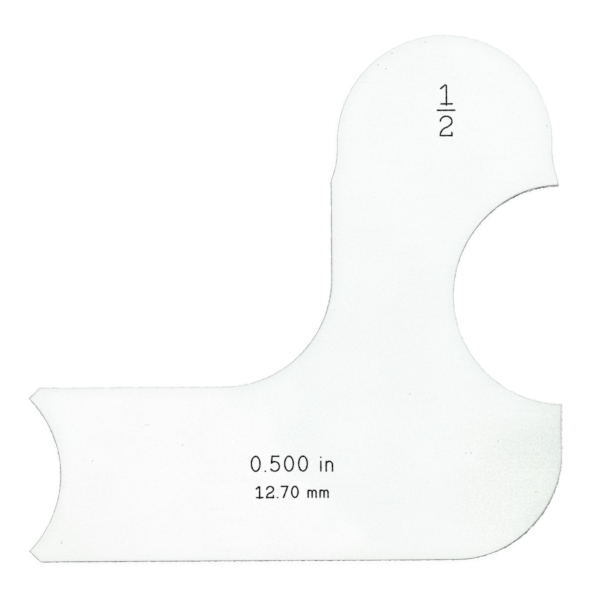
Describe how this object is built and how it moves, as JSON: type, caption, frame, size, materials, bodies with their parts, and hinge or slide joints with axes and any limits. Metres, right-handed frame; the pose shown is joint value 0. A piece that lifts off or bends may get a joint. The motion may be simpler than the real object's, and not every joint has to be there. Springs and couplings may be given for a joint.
{
  "type": "radius gauge",
  "caption": "Flat L-shaped steel plate whose hollow and round edge arcs share one radius, held against a workpiece to check a fillet or rounded corner by eye.",
  "frame": {"origin": "centre of the plate's bounding box, on its lower face", "axes": "+X along the arm towards the heel, +Y along the stem towards the dome, +Z out of the upper face"},
  "size_m": [0.063, 0.0619, 0.0012],
  "materials": {
    "steel": "satin"
  },
  "bodies": {
    "root": {"gauge_plate": "steel"}
  },
  "joints": []
}
